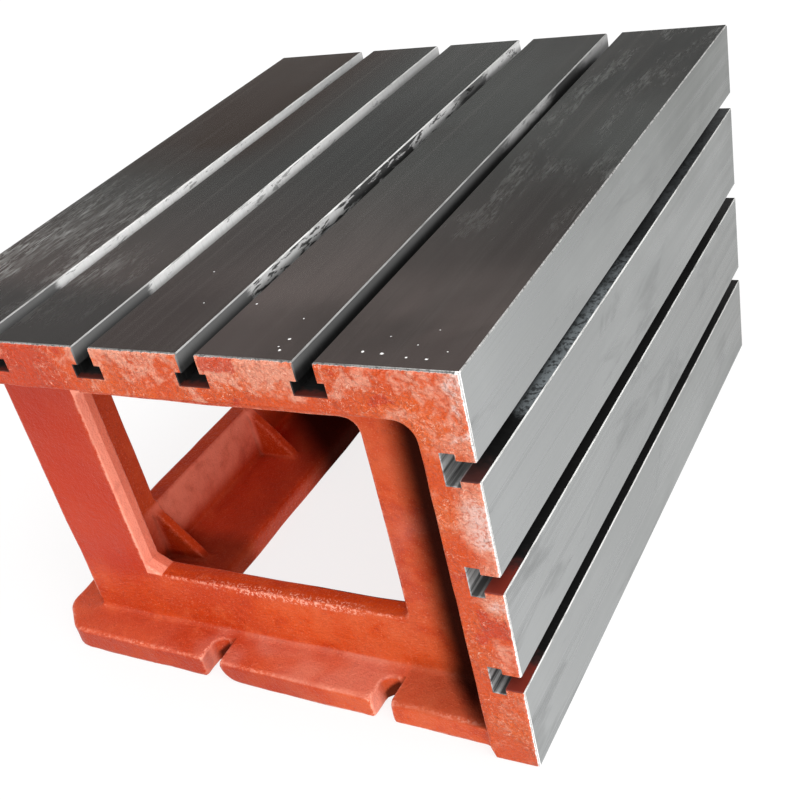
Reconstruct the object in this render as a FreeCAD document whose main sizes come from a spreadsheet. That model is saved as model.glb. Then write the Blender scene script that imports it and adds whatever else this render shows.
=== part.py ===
import FreeCAD, Part
import os
import math
import Sketcher

V = FreeCAD.Vector

doc = FreeCAD.newDocument("tslot_box_table")

# ---------------------------------------------------------------------------
# Driving dimensions, millimetres.
# Frame: +X towards the slotted side plate, +Y along the T-slots (away from
# the end with the foot slots that faces the viewer), +Z up.
# Origin: centre of the footprint, on the floor.
# ---------------------------------------------------------------------------
sheet = doc.addObject("Spreadsheet::Sheet", "Dimensions")
DIM = [
    # overall box
    ("width", 600.0),              # X
    ("depth", 750.0),              # Y, length of every T-slot
    ("height", 415.0),             # Z
    # the two machined plates
    ("top_thick", 46.0),
    ("side_thick", 47.0),
    ("plate_fillet", 19.0),        # inner corner between the two plates
    # T-slots, 18 mm series: neck 18 wide, pocket 30 x 12, 30 deep
    ("slot_neck", 18.0),
    ("slot_pocket", 30.0),
    ("slot_deep", 30.0),
    ("slot_pocket_tall", 12.0),
    ("slot_first_x", -168.0),
    ("slot_pitch_x", 112.0),
    ("slot_count_x", 4.0),
    ("slot_first_z", 104.5),
    ("slot_pitch_z", 111.75),
    ("slot_count_z", 3.0),
    # cast walls under the top plate
    ("wall_recess", 64.0),         # end walls stand back from the plate ends
    ("wall_thick", 24.0),
    ("side_recess", 47.0),         # left wall stands in from the plate edge
    ("side_wall", 25.0),
    ("root_fillet", 10.0),
    # end wall windows
    ("win_left", 161.0),
    ("win_right", 156.0),
    ("win_low", 94.0),
    ("win_high", 320.0),
    ("win_cut_x", 16.0),           # lower left corner is cut off straight
    ("win_cut_z", 10.0),
    ("win_corner", 18.0),
    ("win_foot_corner", 11.0),
    # side wall window
    ("sidewin_half", 204.0),
    ("sidewin_low", 97.0),
    ("sidewin_high", 320.0),
    ("sidewin_corner", 22.0),
    # foot flange
    ("foot_thick", 28.0),
    ("foot_front_left", 23.0),     # distance of its free edge from the plate end
    ("foot_front_right", 12.0),
    ("foot_cut_x", 36.0),
    ("foot_cut_y", 34.0),
    ("foot_inner", 88.0),          # width of the flange inside the left wall
    ("foot_round", 7.0),
    ("foot_slot_width", 22.0),
    ("foot_slot_reach_a", 52.0),   # inner end of each slot from the plate end
    ("foot_slot_reach_b", 47.5),
    ("foot_slot_x_a", -74.0),
    ("foot_slot_x_b", 133.0),
    # gussets inside the left wall
    ("gusset_leg", 56.0),
    ("gusset_rise", 68.0),
    ("gusset_thick", 12.0),
    ("gusset_first_y", -209.0),
    ("gusset_pitch", 209.0),
    ("gusset_count", 3.0),
    # machined edge breaks
    ("edge_break", 3.0),
    ("lip_break", 1.0),
    ("heel_x", 4.0),               # bevel at the foot of the side plate
    ("heel_z", 13.0),
]
for row, (name, value) in enumerate(DIM, start=1):
    sheet.set("A%d" % row, name)
    sheet.set("B%d" % row, "%g" % value)
    sheet.setAlias("B%d" % row, name)
doc.recompute()
D = dict(DIM)


def ref(text):
    """Turn {word} into a reference to the sheet's cell of that name."""
    for key in sorted(D, key=len, reverse=True):
        text = text.replace("{" + key + "}", "Dimensions." + key)
    return text


def number(text):
    out = text
    for key in D:
        out = out.replace("{" + key + "}", "(%r)" % D[key])
    total = 0.0
    # the expressions used here are sums of signed products of plain factors
    out = out.replace(" ", "")
    tokens, depth_now, start = [], 0, 0
    for i, ch in enumerate(out):
        if ch == "(":
            depth_now += 1
        elif ch == ")":
            depth_now -= 1
        elif ch in "+-" and depth_now == 0 and i > start and out[i - 1] not in "*/":
            tokens.append(out[start:i])
            start = i
    tokens.append(out[start:])
    for term in tokens:
        sign = 1.0
        while term and term[0] in "+-":
            if term[0] == "-":
                sign = -sign
            term = term[1:]
        value, op, piece = 1.0, "*", ""
        for ch in term + "*":
            if ch in "*/":
                factor = float(piece.strip("()"))
                value = value * factor if op == "*" else value / factor
                op, piece = ch, ""
            else:
                piece += ch
        total += sign * value
    return total


def origin_plane(body, role):
    for item in body.Origin.OriginFeatures:
        if item.Role == role:
            return item
    raise RuntimeError("no plane " + role)


def new_sketch(body, name, role, lift=None):
    sk = body.newObject("Sketcher::SketchObject", name)
    sk.AttachmentSupport = [(origin_plane(body, role), "")]
    sk.MapMode = "FlatFace"
    if lift is not None:
        sk.AttachmentOffset = FreeCAD.Placement(V(0, 0, number(lift)), FreeCAD.Rotation())
        sk.setExpression("AttachmentOffset.Base.z", ref(lift))
    return sk


def bind(sk, kind, args, text):
    index = sk.addConstraint(Sketcher.Constraint(kind, *(list(args) + [number(text)])))
    sk.setExpression("Constraints[%d]" % index, ref(text))
    return index


def polygon(sk, points):
    """Closed outline through points given as pairs of expressions."""
    xy = [(number(p[0]), number(p[1])) for p in points]
    n = len(xy)
    first = sk.GeometryCount
    start_of = {}
    for i in range(n):
        a, b = xy[i], xy[(i + 1) % n]
        if len(points[i]) > 2:
            # a round corner from this point to the next, drawn counter-clockwise
            # from the second one when the outline turns the other way
            cx, cy = number(points[i][2]), number(points[i][3])
            ra = math.atan2(a[1] - cy, a[0] - cx)
            rb = math.atan2(b[1] - cy, b[0] - cx)
            rad = math.hypot(a[0] - cx, a[1] - cy)
            turn = (rb - ra) % (2.0 * math.pi)
            forward = turn < math.pi
            lo, hi = (ra, ra + turn) if forward else (rb, rb + (ra - rb) % (2.0 * math.pi))
            sk.addGeometry(Part.ArcOfCircle(
                Part.Circle(V(cx, cy, 0), V(0, 0, 1), rad), lo, hi), False)
            start_of[i] = (1, 2) if forward else (2, 1)
        else:
            sk.addGeometry(Part.LineSegment(V(a[0], a[1], 0), V(b[0], b[1], 0)), False)
            start_of[i] = (1, 2)
    for i in range(n):
        j = (i + 1) % n
        sk.addConstraint(Sketcher.Constraint(
            "Coincident", first + i, start_of[i][1], first + j, start_of[j][0]))
        if len(points[i]) > 2:
            bind(sk, "DistanceX", (-1, 1, first + i, 3), points[i][2])
    for i in range(n):
        for kind, text in (("DistanceX", points[i][0]), ("DistanceY", points[i][1])):
            if abs(number(text)) < 1e-9:
                axis = -2 if kind == "DistanceX" else -1
                sk.addConstraint(Sketcher.Constraint(
                    "PointOnObject", first + i, start_of[i][0], axis))
            else:
                bind(sk, kind, (-1, 1, first + i, start_of[i][0]), text)
    return first


def pad(body, sk, name, length, midplane=False, back=False):
    feat = body.newObject("PartDesign::Pad", name)
    feat.Profile = sk
    feat.Midplane = midplane
    feat.Reversed = back
    feat.Length = number(length)
    feat.setExpression("Length", ref(length))
    sk.Visibility = False
    body.Tip = feat
    return feat


def pocket(body, sk, name, length, midplane=False, back=False):
    feat = body.newObject("PartDesign::Pocket", name)
    feat.Profile = sk
    feat.Type = 0
    feat.Midplane = midplane
    feat.Reversed = back
    feat.Length = number(length)
    feat.setExpression("Length", ref(length))
    sk.Visibility = False
    body.Tip = feat
    return feat


def settle(body, what, grows=None):
    """Recompute and make sure that the last feature did its work."""
    global last_volume
    doc.recompute()
    shape = body.Shape
    if shape.isNull() or not shape.isValid():
        raise RuntimeError("bad shape after " + what)
    if grows is True and shape.Volume <= last_volume + 1.0:
        raise RuntimeError("nothing added by " + what)
    if grows is False and shape.Volume >= last_volume - 1.0:
        raise RuntimeError("nothing removed by " + what)
    last_volume = shape.Volume
    if "Invalid" in body.Tip.State:
        raise RuntimeError(what + " failed")
    print("%-24s volume %.0f cm3" % (what, shape.Volume / 1000.0))


last_volume = 0.0

# ---------------------------------------------------------------------------
# One iron casting: top plate, slotted side plate, three cast walls with a
# window each, a foot flange with bolt slots and three gussets.
# ---------------------------------------------------------------------------
body = doc.addObject("PartDesign::Body", "TableCasting")
body.Label = "table_casting"
body.Placement = FreeCAD.Placement(V(0, 0, 0), FreeCAD.Rotation())

L, R = "-{width}/2", "{width}/2"

# the two machined plates, an L seen along the T-slots
sk = new_sketch(body, "PlateProfile", "XZ_Plane")
inner_x = "{width}/2-{side_thick}"
inner_z = "{height}-{top_thick}"
polygon(sk, [
    (L, "{height}"), (L, inner_z),
    (inner_x + "-{plate_fillet}", inner_z, inner_x + "-{plate_fillet}", inner_z + "-{plate_fillet}"),
    (inner_x, inner_z + "-{plate_fillet}"), (inner_x, "{heel_z}"),
    (inner_x + "+{heel_x}", "0*{height}"), (R, "0*{height}"), (R, "{height}"),
])
pad(body, sk, "Plates", "{depth}", midplane=True)
settle(body, "plates", True)

# foot flange: outside the end walls and the left wall, and inside the left
# wall; its free edge runs slightly out of square, as it was cast
half_d = "{depth}/2"
wall_out_x = "-{width}/2+{side_recess}"
wall_in_x = "-{width}/2+{side_recess}+{side_wall}"
sk = new_sketch(body, "FootOutline", "XY_Plane")
polygon(sk, [
    ("{width}/2-{side_thick}+{heel_x}+2*{lip_break}", "-{depth}/2+{foot_front_right}"),
    ("{width}/2-{side_thick}+{heel_x}+2*{lip_break}", "-{depth}/2+{wall_recess}+{wall_thick}"),
    (wall_in_x + "+{foot_inner}", "-{depth}/2+{wall_recess}+{wall_thick}"),
    (wall_in_x + "+{foot_inner}", "{depth}/2-{wall_recess}-{wall_thick}"),
    ("{width}/2-{side_thick}+{heel_x}+2*{lip_break}", "{depth}/2-{wall_recess}-{wall_thick}"),
    ("{width}/2-{side_thick}+{heel_x}+2*{lip_break}", "{depth}/2-{foot_front_right}"),
    (L + "+{foot_cut_x}", "{depth}/2-{foot_front_left}"),
    (L, "{depth}/2-{foot_front_left}-{foot_cut_y}"),
    (L, "-{depth}/2+{foot_front_left}+{foot_cut_y}"),
    (L + "+{foot_cut_x}", "-{depth}/2+{foot_front_left}"),
])
pad(body, sk, "Foot", "{foot_thick}")
settle(body, "foot flange", True)

# end walls and left wall, from the foot up into the top plate
sk = new_sketch(body, "WallOutline", "XY_Plane", "{foot_thick}-{lip_break}")
polygon(sk, [
    ("{width}/2-{side_thick}+{lip_break}", "-{depth}/2+{wall_recess}"),
    ("{width}/2-{side_thick}+{lip_break}", "-{depth}/2+{wall_recess}+{wall_thick}"),
    (wall_in_x, "-{depth}/2+{wall_recess}+{wall_thick}"),
    (wall_in_x, "{depth}/2-{wall_recess}-{wall_thick}"),
    ("{width}/2-{side_thick}+{lip_break}", "{depth}/2-{wall_recess}-{wall_thick}"),
    ("{width}/2-{side_thick}+{lip_break}", "{depth}/2-{wall_recess}"),
    (wall_out_x, "{depth}/2-{wall_recess}"),
    (wall_out_x, "-{depth}/2+{wall_recess}"),
])
pad(body, sk, "Walls", "{height}-{top_thick}-{foot_thick}+2*{lip_break}")
settle(body, "walls", True)

# gussets between the left wall and the inner flange
sk = new_sketch(body, "GussetProfile", "XZ_Plane", "-{gusset_first_y}")
polygon(sk, [
    (wall_in_x + "-{lip_break}", "{foot_thick}-{lip_break}"),
    (wall_in_x + "+{gusset_leg}", "{foot_thick}-{lip_break}"),
    (wall_in_x + "+{gusset_leg}", "{foot_thick}"),
    (wall_in_x, "{foot_thick}+{gusset_rise}"),
    (wall_in_x + "-{lip_break}", "{foot_thick}+{gusset_rise}"),
])
gusset = pad(body, sk, "Gusset", "{gusset_thick}", midplane=True)
settle(body, "gusset", True)
run = body.newObject("PartDesign::LinearPattern", "GussetRow")
run.Originals = [gusset]
run.Direction = (origin_plane(body, "Y_Axis"), [""])
run.Length = 418.0
run.setExpression("Length", ref("{gusset_pitch}*({gusset_count}-1)"))
run.Occurrences = 3
run.setExpression("Occurrences", ref("{gusset_count}"))
body.Tip = run
settle(body, "gusset row", True)


def slot_row(name, count, direction_role, length_text, length_value, profile):
    sk = new_sketch(body, name + "Profile", "XZ_Plane")
    polygon(sk, profile)
    cut = pocket(body, sk, name, "{depth}+20*{lip_break}", midplane=True)
    settle(body, name, False)
    row = body.newObject("PartDesign::LinearPattern", name + "Row")
    row.Originals = [cut]
    row.Direction = (origin_plane(body, direction_role), [""])
    row.Length = length_value
    row.setExpression("Length", ref(length_text))
    row.Occurrences = int(D[count])
    row.setExpression("Occurrences", ref("{" + count + "}"))
    body.Tip = row
    settle(body, name + " row", False)


# four T-slots in the top, with broken lips
sx = "{slot_first_x}"
n2, p2 = "{slot_neck}/2", "{slot_pocket}/2"
top = "{height}"
slot_row("TopSlot", "slot_count_x", "X_Axis",
         "{slot_pitch_x}*({slot_count_x}-1)", 336.0, [
    (sx + "-" + n2 + "-2*{lip_break}", top + "+{lip_break}"),
    (sx + "-" + n2, top + "-{lip_break}"),
    (sx + "-" + n2, top + "-{slot_deep}+{slot_pocket_tall}"),
    (sx + "-" + p2, top + "-{slot_deep}+{slot_pocket_tall}"),
    (sx + "-" + p2, top + "-{slot_deep}"),
    (sx + "+" + p2, top + "-{slot_deep}"),
    (sx + "+" + p2, top + "-{slot_deep}+{slot_pocket_tall}"),
    (sx + "+" + n2, top + "-{slot_deep}+{slot_pocket_tall}"),
    (sx + "+" + n2, top + "-{lip_break}"),
    (sx + "+" + n2 + "+2*{lip_break}", top + "+{lip_break}"),
])

# three T-slots in the side plate
sz = "{slot_first_z}"
slot_row("SideSlot", "slot_count_z", "Z_Axis",
         "{slot_pitch_z}*({slot_count_z}-1)", 223.5, [
    (R + "+{lip_break}", sz + "-" + n2 + "-2*{lip_break}"),
    (R + "-{lip_break}", sz + "-" + n2),
    (R + "-{slot_deep}+{slot_pocket_tall}", sz + "-" + n2),
    (R + "-{slot_deep}+{slot_pocket_tall}", sz + "-" + p2),
    (R + "-{slot_deep}", sz + "-" + p2),
    (R + "-{slot_deep}", sz + "+" + p2),
    (R + "-{slot_deep}+{slot_pocket_tall}", sz + "+" + p2),
    (R + "-{slot_deep}+{slot_pocket_tall}", sz + "+" + n2),
    (R + "-{lip_break}", sz + "+" + n2),
    (R + "+{lip_break}", sz + "+" + n2 + "+2*{lip_break}"),
])

# window through both end walls
sk = new_sketch(body, "EndWindowOutline", "XZ_Plane")
wl, wr, wb, wt = "-{win_left}", "{win_right}", "{win_low}", "{win_high}"
wc, wf = "{win_corner}", "{win_foot_corner}"
polygon(sk, [
    (wl, wb + "+{win_cut_z}"),
    (wl + "+{win_cut_x}", wb),
    (wr + "-" + wf, wb, wr + "-" + wf, wb + "+" + wf),
    (wr, wb + "+" + wf),
    (wr, wt + "-" + wc, wr + "-" + wc, wt + "-" + wc),
    (wr + "-" + wc, wt),
    (wl + "+" + wc, wt, wl + "+" + wc, wt + "-" + wc),
    (wl, wt + "-" + wc),
])
pocket(body, sk, "EndWindows", "{depth}", midplane=True)
settle(body, "end windows", False)

# window through the left wall
sk = new_sketch(body, "SideWindowOutline", "YZ_Plane")
sh, sl, st, sc = "{sidewin_half}", "{sidewin_low}", "{sidewin_high}", "{sidewin_corner}"
polygon(sk, [
    ("-" + sh, sl),
    (sh, sl),
    (sh, st + "-" + sc, sh + "-" + sc, st + "-" + sc),
    (sh + "-" + sc, st),
    ("-" + sh + "+" + sc, st, "-" + sh + "+" + sc, st + "-" + sc),
    ("-" + sh, st + "-" + sc),
])
pocket(body, sk, "SideWindow", "{width}/2")
settle(body, "side window", False)

# bolt slots in the foot flange, open at its free edge; the same at both ends
for tag, sx, reach in (("A", "{foot_slot_x_a}", "{foot_slot_reach_a}"),
                       ("B", "{foot_slot_x_b}", "{foot_slot_reach_b}")):
    for end, sgn in (("Front", "-"), ("Rear", "")):
        sk = new_sketch(body, "FootSlot" + tag + end, "XY_Plane")
        x0, x1 = sx + "-{foot_slot_width}/2", sx + "+{foot_slot_width}/2"
        if sgn == "-":
            y_out = "-{depth}/2"
            y_mid = "-{depth}/2+" + reach + "-{foot_slot_width}/2"
        else:
            y_out = "{depth}/2"
            y_mid = "{depth}/2-" + reach + "+{foot_slot_width}/2"
        ax, bx = number(x0), number(x1)
        yo, ym = number(y_out), number(y_mid)
        cx, rad = (ax + bx) / 2.0, (bx - ax) / 2.0
        sk.addGeometry(Part.LineSegment(V(ax, ym, 0), V(ax, yo, 0)), False)
        sk.addGeometry(Part.LineSegment(V(ax, yo, 0), V(bx, yo, 0)), False)
        sk.addGeometry(Part.LineSegment(V(bx, yo, 0), V(bx, ym, 0)), False)
        if sgn == "-":
            sk.addGeometry(Part.ArcOfCircle(
                Part.Circle(V(cx, ym, 0), V(0, 0, 1), rad), 0.0, math.pi), False)
            ends = ((2, 2, 3, 1), (3, 2, 0, 1))
        else:
            sk.addGeometry(Part.ArcOfCircle(
                Part.Circle(V(cx, ym, 0), V(0, 0, 1), rad), math.pi, 2.0 * math.pi), False)
            ends = ((2, 2, 3, 2), (3, 1, 0, 1))
        sk.addConstraint(Sketcher.Constraint("Coincident", 0, 2, 1, 1))
        sk.addConstraint(Sketcher.Constraint("Coincident", 1, 2, 2, 1))
        for four in ends:
            sk.addConstraint(Sketcher.Constraint("Coincident", *four))
        bind(sk, "DistanceX", (-1, 1, 0, 1), x0)
        bind(sk, "DistanceX", (-1, 1, 0, 2), x0)
        bind(sk, "DistanceX", (-1, 1, 1, 2), x1)
        bind(sk, "DistanceY", (-1, 1, 0, 2), y_out)
        bind(sk, "DistanceY", (-1, 1, 1, 2), y_out)
        bind(sk, "DistanceX", (-1, 1, 2, 2), x1)
        bind(sk, "DistanceY", (-1, 1, 0, 1), y_mid)
        bind(sk, "DistanceY", (-1, 1, 2, 2), y_mid)
        bind(sk, "DistanceY", (-1, 1, 3, 3), y_mid)
        pocket(body, sk, "FootSlotCut" + tag + end, "2*{foot_thick}+4*{lip_break}",
               midplane=True)
        settle(body, "foot slot " + tag + " " + end, False)

# ---------------------------------------------------------------------------
# Cast fillets, found by where the edges lie
# ---------------------------------------------------------------------------


def edges_where(shape, test):
    found = []
    for i, e in enumerate(shape.Edges, start=1):
        pts = [v.Point for v in e.Vertexes]
        if len(pts) < 2:
            pts = pts + [e.valueAt(e.FirstParameter), e.valueAt(e.LastParameter)]
        if test(e, pts[0], pts[-1]):
            found.append("Edge%d" % i)
    return found


def round_edges(name, kind, size_text, test, prop="Radius", grows=None):
    names = edges_where(body.Shape, test)
    if not names:
        raise RuntimeError("no edges for " + name)
    base = body.Tip
    feat = body.newObject(kind, name)
    feat.Base = (base, names)
    setattr(feat, prop, number(size_text))
    feat.setExpression(prop, ref(size_text))
    body.Tip = feat
    settle(body, name + " (%d edges)" % len(names), grows)
    return feat


def near(a, b, tol=0.05):
    return abs(a - b) < tol


HW, HD, H = D["width"] / 2, D["depth"] / 2, D["height"]
IX = HW - D["side_thick"]
IZ = H - D["top_thick"]
WO = -HW + D["side_recess"]
WI = WO + D["side_wall"]
YO = HD - D["wall_recess"]
YI = YO - D["wall_thick"]
FT = D["foot_thick"]

# rounded free corners of the foot flange in plan
round_edges("FootCorners", "PartDesign::Fillet", "2*{foot_round}",
            lambda e, a, b: near(a.x, b.x) and near(a.y, b.y)
            and near(abs(a.z - b.z), FT)
            and (near(a.x, -HW) or near(a.x, -HW + D["foot_cut_x"])))

# cast fillet where the end walls and the left wall stand on the foot flange
round_edges("FootRoot", "PartDesign::Fillet", "{root_fillet}",
            lambda e, a, b: near(a.z, FT) and near(b.z, FT) and e.Length > 100.0 and (
                (near(a.y, b.y) and near(abs(a.y), YO) and abs(a.x) < IX + 1)
                or (near(a.x, b.x) and (near(a.x, WO)))))

# rounded upper edge of the foot flange, all along its free side
round_edges("FootBrow", "PartDesign::Fillet", "{foot_round}",
            lambda e, a, b: near(a.z, FT) and near(b.z, FT)
            and ((abs(a.y) > YO + 30 and abs(b.y) > YO + 30) or
                 (near(a.x, -HW) and near(b.x, -HW))
                 or (a.x < -HW + 40 and b.x < -HW + 40 and abs(a.y) > YO and abs(b.y) > YO)))

# bright machined break along the two ends of the top and of the side plate,
# and a small one along the long edges of the top
EB, LB = "{edge_break}", "{lip_break}"
sk = new_sketch(body, "TopEndBreakProfile", "YZ_Plane")
for sg in ("-", ""):
    away = "-" if sg == "-" else "+"
    back = "+" if sg == "-" else "-"
    polygon(sk, [
        (sg + "{depth}/2" + away + EB, "{height}-" + EB + "-" + EB),
        (sg + "{depth}/2" + away + EB, "{height}+" + EB),
        (sg + "{depth}/2" + back + EB + back + EB, "{height}+" + EB),
    ])
pocket(body, sk, "TopEndBreak", "{width}+20*{lip_break}", midplane=True)
settle(body, "top end break", False)

sk = new_sketch(body, "SideEndBreakProfile", "XY_Plane")
for sg in ("-", ""):
    away = "-" if sg == "-" else "+"
    back = "+" if sg == "-" else "-"
    polygon(sk, [
        ("{width}/2-" + EB + "-" + EB, sg + "{depth}/2" + away + EB),
        ("{width}/2+" + EB, sg + "{depth}/2" + away + EB),
        ("{width}/2+" + EB, sg + "{depth}/2" + back + EB + back + EB),
    ])
pocket(body, sk, "SideEndBreak", "2*{height}+20*{lip_break}", midplane=True)
settle(body, "side end break", False)

sk = new_sketch(body, "LongBreakProfile", "XZ_Plane")
for sg in ("-", ""):
    away = "-" if sg == "-" else "+"
    back = "+" if sg == "-" else "-"
    polygon(sk, [
        (sg + "{width}/2" + away + LB, "{height}-2*" + LB),
        (sg + "{width}/2" + away + LB, "{height}+" + LB),
        (sg + "{width}/2" + back + "2*" + LB, "{height}+" + LB),
    ])
pocket(body, sk, "LongBreak", "{depth}+20*{lip_break}", midplane=True)
settle(body, "long break", False)

doc.recompute()

# ---------------------------------------------------------------------------
# Check and write
# ---------------------------------------------------------------------------
for obj in doc.Objects:
    state = obj.State
    if "Invalid" in state or "Error" in state:
        raise RuntimeError("%s is %s" % (obj.Name, state))

os.makedirs("parts", exist_ok=True)
for obj in [body]:
    shape = obj.Shape
    if shape.isNull() or not shape.isValid():
        raise RuntimeError(obj.Label + " has no valid shape")
    if len(shape.Solids) != 1:
        raise RuntimeError(obj.Label + " is not one solid")
    shape.exportStep("parts/" + obj.Label + ".step")
    bb = shape.BoundBox
    print(obj.Label, "solids", len(shape.Solids), "volume cm3 %.0f" % (shape.Volume / 1000),
          "box", [round(v, 2) for v in (bb.XMin, bb.XMax, bb.YMin, bb.YMax, bb.ZMin, bb.ZMax)])
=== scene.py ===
import bpy, bmesh, math
import numpy as np
from mathutils import Vector, Matrix


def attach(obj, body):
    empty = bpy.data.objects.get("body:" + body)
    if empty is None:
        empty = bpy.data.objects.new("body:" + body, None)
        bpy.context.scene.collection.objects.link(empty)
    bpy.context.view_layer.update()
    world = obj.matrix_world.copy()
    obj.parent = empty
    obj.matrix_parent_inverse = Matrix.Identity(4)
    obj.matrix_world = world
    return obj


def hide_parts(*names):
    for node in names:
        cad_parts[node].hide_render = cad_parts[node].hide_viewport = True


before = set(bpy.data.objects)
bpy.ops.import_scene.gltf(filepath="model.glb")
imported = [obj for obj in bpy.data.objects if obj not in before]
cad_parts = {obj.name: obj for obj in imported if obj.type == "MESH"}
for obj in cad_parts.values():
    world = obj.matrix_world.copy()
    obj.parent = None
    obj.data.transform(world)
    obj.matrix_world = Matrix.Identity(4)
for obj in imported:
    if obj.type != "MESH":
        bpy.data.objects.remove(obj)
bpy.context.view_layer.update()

MM = 0.001

# ---------------------------------------------------------------------------
# Sizes in millimetres, in the part's frame: origin at the centre of the
# footprint on the floor, Y along the T-slots, near end at Y = -375.
# ---------------------------------------------------------------------------
HW, HD, H = 300.0, 375.0, 415.0
TOP_X = (-168.0, -56.0, 56.0, 168.0)          # T-slot centres in the top
SIDE_Z = (328.0, 216.25, 104.5)               # T-slot centres in the side
IX, IZ = 253.0, 369.0                         # inner faces of the two plates
WO_X, WI_X = -253.0, -228.0                   # left wall
WO_Y, WI_Y = 311.0, 287.0                     # end walls
FOOT = 28.0
SLOTS = ((-74.0, 334.0), (133.0, 338.5))      # foot slots: centre x, centre |y| of the round end
GUSSET_Y = (-209.0, 0.0, 209.0)

# ---------------------------------------------------------------------------
# Smooth lattice noise for cast surfaces, seeded
# ---------------------------------------------------------------------------
_rng = np.random.RandomState(7)
_lattice = _rng.rand(32, 32, 32) * 2.0 - 1.0


def vnoise(x, y, z, scale, off=0.0):
    p = [np.asarray(a, float) / scale + off + 100.0 for a in (x, y, z)]
    f = [np.floor(a) for a in p]
    i = [a.astype(np.int64) & 31 for a in f]
    w = [(a - b) for a, b in zip(p, f)]
    w = [a * a * (3.0 - 2.0 * a) for a in w]
    j = [(a + 1) & 31 for a in i]
    L = _lattice
    c00 = L[i[0], i[1], i[2]] * (1 - w[0]) + L[j[0], i[1], i[2]] * w[0]
    c10 = L[i[0], j[1], i[2]] * (1 - w[0]) + L[j[0], j[1], i[2]] * w[0]
    c01 = L[i[0], i[1], j[2]] * (1 - w[0]) + L[j[0], i[1], j[2]] * w[0]
    c11 = L[i[0], j[1], j[2]] * (1 - w[0]) + L[j[0], j[1], j[2]] * w[0]
    c0 = c00 * (1 - w[1]) + c10 * w[1]
    c1 = c01 * (1 - w[1]) + c11 * w[1]
    return c0 * (1 - w[2]) + c1 * w[2]


# ---------------------------------------------------------------------------
# Distance field of the cast part: walls, windows, foot flange, gussets
# ---------------------------------------------------------------------------
def smin(a, b, k):
    h = np.maximum(k - np.abs(a - b), 0.0) / k
    return np.minimum(a, b) - h * h * k * 0.25


def smax(a, b, k):
    return -smin(-a, -b, k)


def rbox(x, y, z, lo, hi, r):
    q = []
    for p, a, b in zip((x, y, z), lo, hi):
        c, hf = (a + b) / 2.0, (b - a) / 2.0
        q.append(np.abs(p - c) - (hf - r))
    out = np.sqrt(sum(np.maximum(v, 0.0) ** 2 for v in q))
    ins = np.minimum(np.maximum(np.maximum(q[0], q[1]), q[2]), 0.0)
    return out + ins - r


def end_window(x, z):
    xr, xl, zt, zb = x - 156.0, -161.0 - x, z - 320.0, 94.0 - z
    cut = ((x + 161.0) * -10.0 + (z - 104.0) * -16.0) / 18.868
    a = smax(xr, zt, 21.0)
    b = smax(xl, zt, 12.0)
    c = smax(xr, zb, 13.0)
    e = smax(smax(xl, cut, 1.0), zb, 1.0)
    return np.maximum(np.maximum(a, b), np.maximum(c, e))


def side_window(y, z):
    ay = np.abs(y)
    a = smax(ay - 204.0, z - 320.0, 26.0)
    b = smax(ay - 204.0, 97.0 - z, 7.0)
    return np.maximum(a, b)


def cast(x, y, z):
    rough = 0.6 * vnoise(x, y, z, 52.0) + 0.2 * vnoise(x, y, z, 23.0, 5.3)
    # walls
    outer = rbox(x, y, z, (WO_X, -WO_Y, -60.0), (420.0, WO_Y, 500.0), 2.4)
    inner = rbox(x, y, z, (WI_X, -WI_Y, -90.0), (420.0, WI_Y, 500.0), 9.0)
    walls = smax(outer, -inner, 3.0)
    # the jambs are drafted from both sides and meet in a ridge half way through
    draft = 0.075 * np.minimum(np.abs(np.abs(y) - 299.0), 14.0)
    walls = smax(walls, -(end_window(x, z) - draft), 2.4)
    left = np.maximum(x + 190.0, -1e9)
    walls = smax(walls, -np.maximum(side_window(y, z), left), 2.6)
    walls = np.maximum(walls, 12.0 - z)
    # foot flange
    ay = np.abs(y)
    d1 = ((ay - 352.0) - (x + 264.0) * (11.0 / 523.0)) / 1.00022
    d2 = (-34.0 * (x + 300.0) + 36.0 * (ay - 318.0)) / 49.52
    d3 = -300.0 - x
    wob = 0.9 * vnoise(x, y, z * 0.6, 60.0, 3.0) + 0.5 * vnoise(x, y, z, 17.0, 8.0)
    outline = smax(smax(d1, d2, 9.0), d3, 9.0) + wob - 0.6
    opening = np.maximum(-140.0 - x, ay - WI_Y)
    top = z - FOOT + 0.7 * vnoise(x, y, z, 52.0, 1.7)
    foot = np.maximum(smax(outline, top, 5.0 + 1.6 * vnoise(x, y, z, 20.0, 6.0)), smax(-opening, top, 12.0))
    for cx, cy in SLOTS:
        dx = np.abs(x - cx) + 0.7 * vnoise(x, y, z, 9.0, 2.2)
        slot = np.where(ay > cy, dx - 11.0, np.hypot(dx, ay - cy) - 11.0)
        # the left slot opens out towards the floor on its right side
        flare = np.clip((x - cx) / 9.0, 0.0, 1.0) if cx < 0 else np.zeros_like(x)
        foot = smax(foot, smax(-slot, 0.0 - z, 1.5 + 20.0 * flare), 3.0)
    body = smin(walls, foot, 8.0)
    # gussets
    slope = (68.0 * (x + 172.0) + 56.0 * (z - 28.0)) / 88.1
    for gy in GUSSET_Y:
        g = smax(np.maximum(np.maximum(slope, -231.0 - x), 22.0 - z), np.abs(y - gy) - 6.0, 2.4)
        body = smin(body, g, 5.0)
    body = body + rough
    # roots against the two plates
    plates = smin(IZ + 0.4 - z, IX + 0.4 - x, 22.0)
    full = smin(body, plates, 12.0)
    full = np.maximum(full, -(plates + 4.5))
    full = np.maximum(full, body - 15.0)
    # planed sole
    return smax(full, 0.0 - z, 2.0)


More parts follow.
